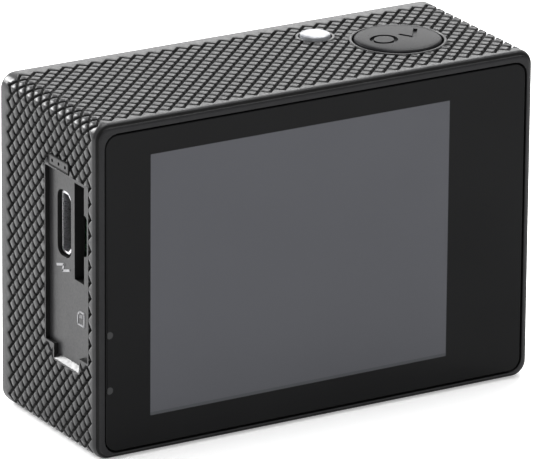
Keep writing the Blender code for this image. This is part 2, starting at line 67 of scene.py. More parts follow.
LO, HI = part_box("housing")
LO, HI = Vector(LO), Vector(HI)
W, D, H = [(HI[i] - LO[i]) / MM for i in range(3)]       # 59.27, 23.35, 41.07


def P(x, y, z):
    """Body stations in mm (X from the left side, Y from the display face, Z up) to metres."""
    return Vector((LO.x + x * MM, LO.y + y * MM, LO.z + z * MM))


def centre(node):
    a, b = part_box(node)
    return (Vector(a) + Vector(b)) / 2


def add(name, bm, mats, origin=None, smooth=True, angle=30.0):
    """A new object from a bmesh whose vertices are in stations (mm)."""
    bm.normal_update()
    me = bpy.data.meshes.new(name)
    base = origin if origin is not None else Vector((0, 0, 0))
    for v in bm.verts:
        v.co = P(*v.co) - base
    bm.to_mesh(me)
    bm.free()
    for m in mats:
        me.materials.append(m)
    ob = bpy.data.objects.new(name, me)
    ob.location = base
    bpy.context.scene.collection.objects.link(ob)
    if smooth:
        me.polygons.foreach_set("use_smooth", [True] * len(me.polygons))
        me.set_sharp_from_angle(angle=math.radians(angle))
    return ob


# ================================================================ materials
def material(name):
    m = bpy.data.materials.new(name)
    m.use_nodes = True
    t = m.node_tree
    return m, t, t.nodes["Principled BSDF"]


def coords(t, scale=1000.0):
    """Object coordinates in mm."""
    tc = t.nodes.new("ShaderNodeTexCoord")
    mp = t.nodes.new("ShaderNodeMapping")
    mp.inputs["Scale"].default_value = (scale, scale, scale)
    t.links.new(tc.outputs["Object"], mp.inputs["Vector"])
    return mp.outputs["Vector"]


def noise(t, vec, scale, detail=4.0, rough=0.55):
    n = t.nodes.new("ShaderNodeTexNoise")
    n.inputs["Scale"].default_value = scale
    n.inputs["Detail"].default_value = detail
    n.inputs["Roughness"].default_value = rough
    t.links.new(vec, n.inputs["Vector"])
    return n.outputs["Fac"]


def ramp(t, fac, stops):
    r = t.nodes.new("ShaderNodeValToRGB")
    r.color_ramp.elements[0].position = stops[0][0]
    r.color_ramp.elements[0].color = (*stops[0][1], 1)
    r.color_ramp.elements[1].position = stops[-1][0]
    r.color_ramp.elements[1].color = (*stops[-1][1], 1)
    for p, c in stops[1:-1]:
        r.color_ramp.elements.new(p).color = (*c, 1)
    t.links.new(fac, r.inputs["Fac"])
    return r.outputs["Color"]


def spread(t, fac, lo, hi):
    mr = t.nodes.new("ShaderNodeMapRange")
    mr.inputs["From Min"].default_value = 0.3
    mr.inputs["From Max"].default_value = 0.7
    mr.inputs["To Min"].default_value = lo
    mr.inputs["To Max"].default_value = hi
    t.links.new(fac, mr.inputs["Value"])
    return mr.outputs["Result"]


def bump(t, bsdf, fac, strength, distance_mm):
    b = t.nodes.new("ShaderNodeBump")
    b.inputs["Strength"].default_value = strength
    b.inputs["Distance"].default_value = distance_mm * MM
    t.links.new(fac, b.inputs["Height"])
    t.links.new(b.outputs["Normal"], bsdf.inputs["Normal"])
    return b


def plastic(name, dark, light, rough, grain=14.0, bump_mm=0.01, strength=0.35,
            spec=0.5, rough_var=0.08, mottle=0.35, coat=0.0, coat_rough=0.1):
    """Moulded plastic: fine spark-eroded grain, slow colour drift, uneven sheen."""
    m, t, b = material(name)
    v = coords(t)
    slow = noise(t, v, mottle, 3.0)
    fine = noise(t, v, grain, 5.0, 0.6)
    t.links.new(ramp(t, slow, [(0.30, dark), (0.72, light)]), b.inputs["Base Color"])
    t.links.new(spread(t, noise(t, v, grain * 0.35, 4.0), rough - rough_var, rough + rough_var),
                b.inputs["Roughness"])
    b.inputs["Specular IOR Level"].default_value = spec
    b.inputs["Coat Weight"].default_value = coat
    b.inputs["Coat Roughness"].default_value = coat_rough
    if strength:
        bump(t, b, fine, strength, bump_mm)
    return m


def metal(name, dark, light, rough, scale=3.0, stretch=(1, 1, 14), bump_mm=0.004):
    m, t, b = material(name)
    tc = t.nodes.new("ShaderNodeTexCoord")
    mp = t.nodes.new("ShaderNodeMapping")
    mp.inputs["Scale"].default_value = tuple(1000.0 * s for s in stretch)
    t.links.new(tc.outputs["Object"], mp.inputs["Vector"])
    f = noise(t, mp.outputs["Vector"], scale, 5.0)
    t.links.new(ramp(t, f, [(0.3, dark), (0.7, light)]), b.inputs["Base Color"])
    t.links.new(spread(t, f, rough - 0.08, rough + 0.08), b.inputs["Roughness"])
    b.inputs["Metallic"].default_value = 1.0
    bump(t, b, f, 0.3, bump_mm)
    return m


LCD_TONE = 1.14                      # display area's tone under this light
GLASS_TONE = 0.9


def tone(*c, k=None):
    return tuple(v * (LCD_TONE if k is None else k) for v in c)


M = {}
M["body_plastic"] = plastic("body_plastic", (0.018, 0.018, 0.019), (0.025, 0.025, 0.026),
                            0.36, grain=9.0, bump_mm=0.010, strength=0.45, spec=0.27)
# Near-black also used on the housing to paint shade onto bores, pocket walls and the rear parting groove.
M["hole_black"] = plastic("hole_black", (0.004, 0.004, 0.004), (0.008, 0.008, 0.008), 0.6,
                          spec=0.15)
# Near-black, low-sheen material that paints shade onto the walls of the tile grooves.
M["groove_painted_shade"] = plastic("groove_painted_shade", (0.004, 0.004, 0.004), (0.009, 0.009, 0.009), 0.65,
                            spec=0.12)
M["rim_plastic"] = plastic("rim_plastic", (0.008, 0.008, 0.009), (0.012, 0.012, 0.013),
                           0.36, grain=9.0, bump_mm=0.008, strength=0.35, spec=0.16)
M["cover_plastic"] = plastic("cover_plastic", (0.0100, 0.0100, 0.0107), (0.0125, 0.0125, 0.0132),
                             0.36, grain=8.0, bump_mm=0.006, strength=0.30, spec=0.38,
                             rough_var=0.02, mottle=0.12)
M["key_plastic"] = plastic("key_plastic", (0.008, 0.008, 0.009), (0.012, 0.012, 0.013),
                           0.30, grain=9.0, bump_mm=0.004, strength=0.15, spec=0.04, rough_var=0.03)
M["inner_plastic"] = plastic("inner_plastic", (0.018, 0.018, 0.019), (0.026, 0.026, 0.028), 0.55)
M["chip_black"] = plastic("chip_black", (0.012, 0.012, 0.013), (0.022, 0.022, 0.023), 0.5)
M["lcd_grey"] = plastic("lcd_grey", (0.094, 0.097, 0.103), (0.100, 0.103, 0.109), 0.25,
                        strength=0.0)
M["backlight_white"] = plastic("backlight_white", (0.72, 0.72, 0.70), (0.80, 0.80, 0.78), 0.5)
M["board_green"] = plastic("board_green", (0.010, 0.070, 0.030), (0.016, 0.100, 0.045), 0.3)
M["flex_amber"] = plastic("flex_amber", (0.30, 0.14, 0.03), (0.40, 0.20, 0.05), 0.35)
M["battery_wrap"] = plastic("battery_wrap", (0.040, 0.044, 0.060), (0.060, 0.064, 0.080), 0.35,
                            grain=6.0)
M["steel"] = metal("steel", (0.52, 0.52, 0.54), (0.74, 0.74, 0.76), 0.30)
M["brass"] = metal("brass", (0.62, 0.44, 0.18), (0.80, 0.60, 0.28), 0.30)
M["speaker_foil"] = metal("speaker_foil", (0.030, 0.030, 0.031), (0.050, 0.050, 0.052), 0.45)
M["alloy_black"] = metal("alloy_black", (0.018, 0.018, 0.019), (0.030, 0.030, 0.032), 0.36,
                         scale=2.0, stretch=(10, 1, 10), bump_mm=0.002)
M["spun_black"] = plastic("spun_black", (0.012, 0.012, 0.013), (0.018, 0.018, 0.019), 0.30,
                          grain=20.0, strength=0.2)
M["trim_light"] = plastic("trim_light", (0.20, 0.20, 0.21), (0.25, 0.25, 0.26), 0.35)
M["mark_grey"] = plastic("mark_grey", (0.30, 0.30, 0.31), (0.36, 0.36, 0.37), 0.5)


def clear_plastic():
    """Frosted light guide: milky, slightly blue-white, soft translucency."""
    m, t, b = material("clear_plastic")
    v = coords(t)
    t.links.new(ramp(t, noise(t, v, 1.2), [(0.3, (0.22, 0.23, 0.25)), (0.7, (0.31, 0.32, 0.34))]),
                b.inputs["Base Color"])
    t.links.new(spread(t, noise(t, v, 6.0), 0.16, 0.26), b.inputs["Roughness"])
    b.inputs["Subsurface Weight"].default_value = 0.35
    b.inputs["Subsurface Radius"].default_value = (0.0010, 0.0010, 0.0010)
    b.inputs["Transmission Weight"].default_value = 0.15
    bump(t, b, noise(t, v, 10.0), 0.2, 0.006)
    return m


M["clear_plastic"] = clear_plastic()


def glass_face(name, dark, light, rough, spec):
    """Hard-coated window: smooth, with faint dust and a slow drift in tone."""
    m, t, b = material(name)
    v = coords(t)
    t.links.new(ramp(t, noise(t, v, 0.05, 2.0), [(0.3, dark), (0.7, light)]),
                b.inputs["Base Color"])
    t.links.new(spread(t, noise(t, v, 0.8, 6.0, 0.7), rough - 0.03, rough + 0.04),
                b.inputs["Roughness"])
    b.inputs["Specular IOR Level"].default_value = spec
    return m


M["display_glass"] = glass_face("display_glass", tone(0.0050, 0.0051, 0.0054, k=GLASS_TONE),
                                tone(0.0062, 0.0064, 0.0068, k=GLASS_TONE), 0.10, 0.07)
M["display_area"] = glass_face("display_area", tone(0.0635, 0.0648, 0.0722),
                               tone(0.0670, 0.0684, 0.0760), 0.10, 0.07)
M["display_edge"] = glass_face("display_edge", tone(0.0480, 0.0500, 0.0540),
                               tone(0.0510, 0.0532, 0.0574), 0.10, 0.07)
M["led_dot"] = glass_face("led_dot", tone(0.030, 0.0303, 0.031), tone(0.034, 0.0343, 0.035), 0.15, 0.07)


def lens_glass():
    m, t, b = material("lens_glass")
    v = coords(t)
    t.links.new(ramp(t, noise(t, v, 0.3, 2.0), [(0.3, (0.008, 0.009, 0.014)), (0.7, (0.012, 0.013, 0.020))]),
                b.inputs["Base Color"])
    t.links.new(spread(t, noise(t, v, 0.08, 1.0), 0.02, 0.04), b.inputs["Roughness"])
    b.inputs["Alpha"].default_value = 0.45
    b.inputs["Specular IOR Level"].default_value = 0.6
    return m


M["lens_glass"] = lens_glass()
M["lens_coated"] = glass_face("lens_coated", (0.004, 0.004, 0.012), (0.008, 0.006, 0.022), 0.09, 0.35)

SLOT_OF = {s["node"]: s["material_slot"] for s in frame["record"]["subparts"]}
for node, ob in frame["nodes"].items():
    mat = M.get(SLOT_OF.get(node), M["inner_plastic"])
    if node in ("lens_front_element", "lens_middle_element", "lens_rear_element"):
        mat = M["lens_coated"]
    if not ob.data.materials:
        ob.data.materials.append(mat)
    for i in range(len(ob.data.materials)):
        ob.data.materials[i] = mat


# ============================================================ knurled body
P_S, P_Y = 1.9242, 1.8762            # lattice periods round the body and along it
Y_FRONT, Y_REAR = 20.95, 1.25        # end columns of the lattice
ROWS = 10.5
CORNER = 2.00
HALF_V, DEPTH_V = 0.205, 0.45        # V groove: half opening, depth
CHAMFER = 0.050                      # worn edge of each tile
INSET = 0.05                         # textured skin under the outer envelope
PERIM = 2 * (W - 2 * CORNER) + 2 * (H - 2 * CORNER) + 2 * math.pi * CORNER
N_S = round(PERIM / P_S)
PS = PERIM / N_S
S_PHASE = (38.13 - CORNER) / PS      # a groove crossing sits at Z 38.13 on the left side


def around(s, r):
    """Point on the body outline at arc length s from the left side's lower end,
    going up, over the top, down the right side and back; r inward offset."""
    s %= PERIM
    legs = (H - 2 * CORNER, W - 2 * CORNER, H - 2 * CORNER, W - 2 * CORNER)
    arc = math.pi * CORNER / 2
    corners = ((CORNER, H - CORNER), (W - CORNER, H - CORNER), (W - CORNER, CORNER), (CORNER, CORNER))
    starts = ((0, CORNER), (CORNER, H), (W, H - CORNER), (W - CORNER, 0))
    dirs = ((0, 1), (1, 0), (0, -1), (-1, 0))
    norms = ((-1, 0), (0, 1), (1, 0), (0, -1))
    for k in range(4):
        if s <= legs[k]:
            x = starts[k][0] + dirs[k][0] * s - norms[k][0] * r
            z = starts[k][1] + dirs[k][1] * s - norms[k][1] * r
            return x, z
        s -= legs[k]
        if s <= arc:
            a = s / CORNER
            n = (norms[k][0] * math.cos(a) + dirs[k][0] * math.sin(a),
                 norms[k][1] * math.cos(a) + dirs[k][1] * math.sin(a))
            cx, cz = corners[k]
            return cx + n[0] * (CORNER - r), cz + n[1] * (CORNER - r)
        s -= arc
    return around(0.0, r)


def knurled_block():
    """Closed solid block: diamond tiles between crossing V grooves round all
    four sides, smooth margins, a parting groove and rounded edges at both ends.
    Built unrolled as (arc length, depth station, inset), then wrapped."""
    bm = bmesh.new()
    cache = {}

    def vert(s, y, r):
        key = (round(s * 500), round(y * 500), round(r * 500))
        if key not in cache:
            cache[key] = bm.verts.new((s, y, r))
        return cache[key]

    def face(*vs):
        out = [v for i, v in enumerate(vs) if v is not vs[i - 1]]
        if len(out) >= 3:
            bm.faces.new(out)

    s0 = (S_PHASE - math.floor(S_PHASE)) * PS
    hs, hy = PS / 2, P_Y / 2
    a, e = HALF_V * math.sqrt(2), CHAMFER * math.sqrt(2)
    n_half = int(round((Y_FRONT - Y_REAR) / hy))
    I, E, V = INSET, INSET + CHAMFER * 0.8, INSET + DEPTH_V
    for i in range(2 * N_S):
        for j in range(n_half + 1):
            if (i + j) % 2 == 0:
                continue
            s, y = s0 + i * hs, Y_FRONT - j * hy

            def ring(off, r):
                return [vert(s + hs - off, y, r), vert(s, y + hy - off, r),
                        vert(s - hs + off, y, r), vert(s, y - hy + off, r)]

            if 0 < j < n_half:
                v, m, t, quads = ring(0, V), ring(a, E), ring(a + e, I), (0, 1, 2, 3)
                face(*t)
            else:
                quads = (2, 3) if j == 0 else (0, 1)
                v, m, t = ring(0, V), ring(a, E), ring(a + e, I)
                c = vert(s, y, I)
                if j == 0:
                    face(t[2], t[3], c), face(t[3], t[0], c)
                else:
                    face(t[0], t[1], c), face(t[1], t[2], c)
                for w in (v, m, t):
                    if j == 0:
                        bad = w[1]
                    else:
                        bad = w[3]
                    if not bad.link_faces:
                        pass
            for q in quads:
                n = (q + 1) % 4
                face(v[q], m[q], m[n], v[n])
                face(m[q], t[q], t[n], m[n])

    def margin(y_col, sign, parity, stations):
        ks = (-hs, -hs + a + e, 0.0, hs - a - e, hs)
        for i in range(2 * N_S):
            if (i + parity) % 2 == 0:
                continue
            s = s0 + i * hs
            tip = y_col + sign * 0.34
            y1, r1 = stations[0]
            c = vert(s, y_col, I)
            bs = [vert(s + k, y1, r1) for k in ks]
            for side, (b_out, b_in) in ((-1, (bs[0], bs[1])), (1, (bs[4], bs[3]))):
                v = vert(s + side * hs, y_col, V)
                m = vert(s + side * (hs - a), y_col, E)
                t = vert(s + side * (hs - a - e), y_col, I)
                pt = vert(s + side * hs, tip, I)
                face(v, m, pt), face(m, t, pt), face(pt, t, b_in, b_out)
                face(t, c, bs[2], b_in)
            for (ya, ra), (yb, rb) in zip(stations, stations[1:]):
                for k in range(4):
                    face(vert(s + ks[k], ya, ra), vert(s + ks[k + 1], ya, ra),
                         vert(s + ks[k + 1], yb, rb), vert(s + ks[k], yb, rb))

    front = [(21.6, I)]
    for k in range(9):
        t = math.pi / 2 * k / 8
        front.append((D - I - 0.92 + 0.92 * math.sin(t), I + 0.92 * (1 - math.cos(t))))
    rear = [(0.90, I), (0.80, 0.06), (0.66, 0.10), (0.54, 0.165), (0.46, 0.22), (0.41, 0.28),
            (0.40, 0.34), (0.40, 0.56), (0.14, 0.58), (0.09, 0.60), (0.05, 0.66),
            (0.025, 0.78), (0.02, 0.95)]
    margin(Y_FRONT, 1, 1 - 1, front)
    margin(Y_REAR, -1, n_half, rear)
    loose = [v for v in bm.verts if not v.link_faces]
    bmesh.ops.delete(bm, geom=loose, context='VERTS')
    # Split the tiles along the rounded corners, then wrap the sheet round them.
    arc = math.pi * CORNER / 2
    cuts, at = [], 0.0
    for leg in (H - 2 * CORNER, W - 2 * CORNER) * 2:
        at += leg
        cuts += [at + arc * k / 9 for k in range(10)]
        at += arc
    lo = min(v.co.x for v in bm.verts)
    hi = max(v.co.x for v in bm.verts)
    for c in sorted({round(q + w * PERIM, 6) for q in cuts for w in (-1, 0, 1)}):
        if lo < c < hi:
            bmesh.ops.bisect_plane(bm, geom=bm.verts[:] + bm.edges[:] + bm.faces[:], dist=1e-4,
                                   plane_co=(c, 0, 0), plane_no=(1, 0, 0))
    bmesh.ops.triangulate(bm, faces=bm.faces[:])
    for v in bm.verts:
        x, z = around(v.co.x, v.co.z)
        v.co = (x, v.co.y, z)
    bmesh.ops.remove_doubles(bm, verts=bm.verts, dist=0.002)
    rim = [e for e in bm.edges if len(e.link_faces) == 1]
    bmesh.ops.holes_fill(bm, edges=rim, sides=0)
    print("block open edges", sum(1 for e in bm.edges if len(e.link_faces) != 2),
          "faces", len(bm.faces))
    bmesh.ops.recalc_face_normals(bm, faces=bm.faces)
    return bm


def slab(x0, x1, y0, y1, z0, z1, mat=0, axis=None, r=0.0, seg=3):
    bm = bmesh.new()
    bmesh.ops.create_cube(bm, size=1.0)
    bmesh.ops.scale(bm, vec=(x1 - x0, y1 - y0, z1 - z0), verts=bm.verts)
    if axis is not None and r:
        k = "XYZ".index(axis)
        edges = [e for e in bm.edges
                 if abs((e.verts[0].co - e.verts[1].co)[k]) > 1e-6]
        bmesh.ops.bevel(bm, geom=edges, offset=r, segments=seg, affect='EDGES', profile=0.5)
    bmesh.ops.translate(bm, vec=((x0 + x1) / 2, (y0 + y1) / 2, (z0 + z1) / 2), verts=bm.verts)
    return bm


def disc(x, y, z, r, h, axis="Z", seg=96):
    """Closed cylinder centred at x, y, z with length h along the axis."""
    bm = bmesh.new()
    bmesh.ops.create_cone(bm, cap_ends=True, segments=seg, radius1=r, radius2=r, depth=h)
    if axis == "X":
        bmesh.ops.rotate(bm, matrix=Matrix.Rotation(math.pi / 2, 3, 'Y'), verts=bm.verts)
    elif axis == "Y":
        bmesh.ops.rotate(bm, matrix=Matrix.Rotation(math.pi / 2, 3, 'X'), verts=bm.verts)
    bmesh.ops.translate(bm, vec=(x, y, z), verts=bm.verts)
    return bm


def boolean(ob, other, op):
    m = ob.modifiers.new(op, 'BOOLEAN')
    m.operation, m.solver, m.object = op, 'EXACT', other
    bpy.context.view_layer.update()
    dg = bpy.context.evaluated_depsgraph_get()
    me = bpy.data.meshes.new_from_object(ob.evaluated_get(dg))
    ob.modifiers.clear()
    old = ob.data
    ob.data = me
    bpy.data.meshes.remove(old)
    bpy.data.objects.remove(other, do_unlink=True)


BODY = frame["nodes"]["housing"]


def measure(name, *bms):
    """Temporary object from bmeshes in stations."""
    joined = bmesh.new()
    for b in bms:
        me = bpy.data.meshes.new("t")
        b.to_mesh(me)
        b.free()
        joined.from_mesh(me)
        bpy.data.meshes.remove(me)
    return add(name, joined, [], smooth=False)


body = add("knurled_body", knurled_block(), [], smooth=False)

# Plain lands round the openings: they fill the grooves level with the tiles.
F = INSET - 0.012                     # land surface below the envelope
lands = [
    slab(F, 1.0, 1.72, 12.10, 11.38, 33.22, axis="X", r=0.3),      # port recess
    slab(F, 1.0, 3.75, 10.20, 9.60, 12.0, axis="X", r=0.5),        # finger notch
    slab(F, 1.0, 6.26, 11.10, 33.1, 34.70, axis="X", r=0.2),       # microphone plate
    disc(47.07, 11.00, H - F - 0.5, 5.78, 1.0, seg=128),            # shutter key
    disc(39.20, 16.90, H - F - 0.5, 2.32, 1.0, seg=64),             # indicator
    slab(W - 1.0, W - F, 12.6 - 2.1, 12.6 + 2.1, 28.5 - 3.9, 28.5 + 3.9, axis="X", r=1.6),
    slab(W - 1.0, W - F, 12.6 - 2.1, 12.6 + 2.1, 19.5 - 3.9, 19.5 + 3.9, axis="X", r=1.6),
    slab(17.3, 56.6, 8.0, 20.9, F, 1.0, axis="Z", r=0.8),           # battery door
    disc(11.0, 14.0, F + 0.5, 5.1, 1.0, seg=96),                    # tripod thread
]
land = measure("land", lands[0])
for i, bm in enumerate(lands[1:]):
    boolean(land, measure("land_%d" % i, bm), 'UNION')
boolean(body, land, 'UNION')

# The inside and every opening come from the CAD housing itself.
hull = bpy.data.objects.new("hull", BODY.data.copy())
hull.matrix_world = BODY.matrix_world.copy()
bpy.context.scene.collection.objects.link(hull)
boolean(body, hull, 'INTERSECT')
body.data.materials.clear()
# Materials for the zones below; the last two paint shade into bores, pocket walls and tile grooves.
for m in ("body_plastic", "rim_plastic", "hole_black", "groove_painted_shade"):
    body.data.materials.append(M[m])
body.data.polygons.foreach_set("use_smooth", [True] * len(body.data.polygons))
body.data.set_sharp_from_angle(angle=math.radians(28))
print("knurled body faces", len(body.data.polygons))
def skin_depth(x, z):
    """How far a point of the body lies under its outline."""
    u, v = min(x, W - x), min(z, H - z)
    if u < CORNER and v < CORNER:
        return CORNER - math.hypot(CORNER - u, CORNER - v)
    return min(u, v)


def zone(c, n):
    """Which material a patch of the housing gets: 0 body, 1 rear shell, 2 bores, pocket walls and the rear
    parting groove darkened as painted shade, 3 tile groove walls darkened as painted shade.
    """
    x, y, z = [(c[i] - LO[i]) / MM for i in range(3)]
    # Walls round the display pocket: painted shade.
    if 1.05 < x < W - 0.98 and y < 1.4 and 0.6 < z < H - 0.6 and abs(n.y) < 0.5 and y > 0.03:
        return 2
    deep = skin_depth(x, z)
    if y < 0.42:
        # Rear parting groove: painted shade; the rest of this strip is the rear shell.
        return 2 if 0.30 < deep < 0.59 and y > 0.12 else 1
    in_recess = x < 1.0 and 1.9 < y < 12.0 and 9.7 < z < 33.2
    # Tile groove walls: painted shade.
    if 0.10 < deep < 0.56 and 0.93 < y < 21.4 and not in_recess:
        return 3
    # Port recess walls: painted shade.
    if x < 2.4 and 9.6 < z < 34.9 and 1.7 < y < 12.2:
        if x > 0.68 or (x > 0.07 and abs(n.x) < 0.3):
            return 2
        if x > 0.09 and z > 33.2:
            return 2
    # Wells round the shutter key and the indicator: painted shade.
    if z > H - 2.2 and z < H - 0.09:
        if math.hypot(x - 47.07, y - 11.0) < 5.6 or math.hypot(x - 39.2, y - 16.9) < 2.12:
            return 2
    # Wells round the side keys: painted shade.
    if x > W - 2.3 and x < W - 0.09 and 10.8 < y < 14.5 and (15.9 < z < 23.1 or 24.9 < z < 32.1):
        return 2
    return 0


for p in body.data.polygons:
    p.material_index = zone(p.center, p.normal)
    q = [(p.center[i] - LO[i]) / MM for i in range(3)]
    if q[0] < 2.4 and 1.9 < q[1] < 12.1 and 9.7 < q[2] < 33.2:
        p.use_smooth = False               # crisp flat faces of the port recess
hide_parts("housing")
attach(body, "camera")


# ========================================================== display window
def window():
    lo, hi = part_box("rear_glass")
    x0, y0, z0 = [(lo[i] - LO[i]) / MM for i in range(3)]
    x1, y1, z1 = [(hi[i] - LO[i]) / MM for i in range(3)]
    bm = bmesh.new()
    R, seg = 1.5, 8
    outline = []
    for cx, cz, a0 in ((x1 - R, z0 + R, -90), (x1 - R, z1 - R, 0), (x0 + R, z1 - R, 90), (x0 + R, z0 + R, 180)):
        for k in range(seg + 1):
            t = math.radians(a0 + 90 * k / seg)
            outline.append((cx + R * math.cos(t), cz + R * math.sin(t), math.cos(t), math.sin(t)))
    c = 0.10                                    # polished edge
    face = [Vector((x - nx * c, y0, z - nz * c)) for x, z, nx, nz in outline]
    area = [Vector((a, y0, b)) for a, b in ((7.31, 4.60), (47.57, 4.60), (47.57, 36.50), (7.31, 36.50))]
    dots = []
    for z in (15.40, 8.60):
        dots.append([Vector((1.93 + 0.44 * math.cos(2 * math.pi * k / 24), y0,
                             z + 0.44 * math.sin(2 * math.pi * k / 24))) for k in range(24)])
    from mathutils.geometry import tessellate_polygon
    loops = [face, area] + dots
    pts = [p for l in loops for p in l]
    vs = [bm.verts.new(p) for p in pts]
    for tri in tessellate_polygon(loops):
        f = bm.faces.new([vs[i] for i in tri])
        f.material_index = 0
    n = len(face)
    strip = [bm.verts.new((7.31, y0, 4.98)), bm.verts.new((47.57, y0, 4.98))]
    a = vs[n:n + 4]
    f = bm.faces.new([strip[0], strip[1], a[2], a[3]])
    f.material_index = 1
    f = bm.faces.new([a[0], a[1], strip[1], strip[0]])
    f.material_index = 2
    k = n + 4
    for d in dots:
        f = bm.faces.new(vs[k:k + len(d)])
        f.material_index = 3
        k += len(d)
    mid = [bm.verts.new((x, y0 + c, z)) for x, z, nx, nz in outline]
    back = [bm.verts.new((x, y1, z)) for x, z, nx, nz in outline]
    for i in range(n):
        j = (i + 1) % n
        bm.faces.new([vs[i], vs[j], mid[j], mid[i]])
        bm.faces.new([mid[i], mid[j], back[j], back[i]])
    bm.faces.new(back[::-1])
    bmesh.ops.recalc_face_normals(bm, faces=bm.faces)
    ob = add("display_window", bm, [M["display_glass"], M["display_area"], M["display_edge"], M["led_dot"]],
             origin=P((x0 + x1) / 2, y0, (z0 + z1) / 2), angle=40)
    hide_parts("rear_glass")
    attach(ob, "camera")


window()


# ========================================================= keys and lens
def station(node):
    lo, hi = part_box(node)
    return ([(lo[i] - LO[i]) / MM for i in range(3)], [(hi[i] - LO[i]) / MM for i in range(3)])


def body_name(node):
    o = frame["nodes"][node]
    while o is not None:
        for k, v in frame["bodies"].items():
            if v == o:
                return k
        o = o.parent
    return "camera"


def lathe(profile, at, axis="Z", seg=96):
    """Turned solid: profile is (radius, height) along the axis, closed on itself
    or ending on the axis."""
    bm = bmesh.new()
    rings = []
    for r, h in profile:
        ring = []
        for k in range(seg if r > 1e-6 else 1):
            t = 2 * math.pi * k / seg
            c, d = r * math.cos(t), r * math.sin(t)
            q = {"Z": (c, d, h), "Y": (c, h, d), "X": (h, c, d)}[axis]
            ring.append(bm.verts.new(Vector(q) + Vector(at)))
        rings.append(ring)
    pairs = list(zip(rings, rings[1:]))
    if profile[0][0] > 1e-6 and profile[-1][0] > 1e-6:
        pairs.append((rings[-1], rings[0]))
    for p, q in pairs:
        for k in range(seg):
            n = (k + 1) % seg
            vs = [p[k % len(p)], p[n % len(p)], q[n % len(q)], q[k % len(q)]]
            vs = [v for i, v in enumerate(vs) if v is not vs[i - 1]]
            if len(vs) >= 3:
                bm.faces.new(vs)
    bmesh.ops.recalc_face_normals(bm, faces=bm.faces)
    return bm


def bar(p, q, width, lo, hi, axis):
    """Straight bar between two points in the plane across the axis."""
    bm = bmesh.new()
    bmesh.ops.create_cube(bm, size=1.0)
    d = math.hypot(q[0] - p[0], q[1] - p[1]) + width * 0.6
    bmesh.ops.scale(bm, vec=(d, width, hi - lo), verts=bm.verts)
    bmesh.ops.rotate(bm, matrix=Matrix.Rotation(math.atan2(q[1] - p[1], q[0] - p[0]), 3, 'Z'),
                     verts=bm.verts)
    m = ((p[0] + q[0]) / 2, (p[1] + q[1]) / 2, (lo + hi) / 2)
    for v in bm.verts:
        a, b, c = v.co + Vector(m)
        v.co = {"Z": (a, b, c), "X": (c, a, b), "Y": (a, c, b)}[axis]
    bmesh.ops.recalc_face_normals(bm, faces=bm.faces)
    return bm


def piece(name, bm, mat, node, replace=True, angle=30.0):
    ob = add(name, bm, [M[mat]], origin=centre(node), angle=angle)
    if replace:
        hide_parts(node)
    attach(ob, body_name(node))
    return ob


# Top key: shallow dome with a soft rolled edge; engraved ring and tick.
lo, hi = station("shutter_button")
kx, ky, zt = (lo[0] + hi[0]) / 2, (lo[1] + hi[1]) / 2, hi[2]
zl, rf = max(lo[2], H - 1.9), 5.24
R = 5.24
prof = [(0, zl)]
if rf > 5.4 and zl + 0.3 < H - 2.1:
    prof += [(rf, zl), (rf, zl + 0.3), (R, zl + 0.3)]
else:
    prof += [(R, zl)]
prof += [(R, zt - 0.42), (R - 0.05, zt - 0.30), (R - 0.15, zt - 0.21), (R - 0.32, zt - 0.15),
         (R - 0.8, zt - 0.105), (3.4, zt - 0.055), (2.2, zt - 0.022), (1.1, zt - 0.005), (0, zt)]
key = piece("shutter_key", lathe(prof, (kx, ky, 0), seg=128), "key_plastic", "shutter_button", angle=25)
for k, bm in enumerate((
        lathe([(1.20, zt - 0.30), (1.68, zt - 0.30), (1.68, zt + 0.5), (1.20, zt + 0.5)],
              (kx - 2.0, ky - 0.1, 0), seg=64),
        bar((kx + 0.60, ky + 0.50), (kx + 1.55, ky - 1.10), 0.50, zt - 0.31, zt + 0.5, "Z"),
        bar((kx + 1.60, ky - 1.05), (kx + 3.40, ky + 1.60), 0.50, zt - 0.32, zt + 0.5, "Z"))):
    for ob_ in (key,):
        tidy = bmesh.new()
        tidy.from_mesh(ob_.data)
        bmesh.ops.remove_doubles(tidy, verts=tidy.verts, dist=1e-7)
        bmesh.ops.recalc_face_normals(tidy, faces=tidy.faces)
        tidy.to_mesh(ob_.data)
        tidy.free()
    bmesh.ops.recalc_face_normals(bm, faces=bm.faces)
    keep = key.data.copy()
    boolean(key, measure("engrave", bm), 'DIFFERENCE')
    top = max(v.co.z for v in key.data.vertices)
    was = max(v.co.z for v in keep.vertices)
    print("engrave", k, "top", top, was, len(keep.vertices), len(key.data.vertices))
    if top > was + 1e-6 or len(key.data.vertices) == 0:
        key.data = keep
if not key.data.materials:
    key.data.materials.append(M["key_plastic"])
key.data.polygons.foreach_set("use_smooth", [True] * len(key.data.polygons))
key.data.set_sharp_from_angle(angle=math.radians(25))
piece("shutter_bezel", lathe([(5.50, H - 0.30), (5.50, H - 0.03), (5.55, H + 0.02), (5.66, H + 0.03),
                              (5.76, H - 0.02), (5.80, H - 0.12), (5.80, H - 0.30)],
                             (kx, ky, 0), seg=128), "body_plastic", "housing", replace=False)

# Indicator: low frosted button of clear plastic.
lo, hi = station("indicator_lens")
ix, iy, zt, zl = (lo[0] + hi[0]) / 2, (lo[1] + hi[1]) / 2, hi[2], lo[2]
R = min(1.83, (hi[0] - lo[0]) / 2)
piece("indicator_button", lathe([(0, zl), (R, zl), (R, zt - 0.20), (R - 0.05, zt - 0.10),
                                 (R - 0.16, zt - 0.03), (R - 0.4, zt), (0.9, zt - 0.015), (0, zt - 0.03)],
                                (ix, iy, 0), seg=64), "clear_plastic", "indicator_lens")

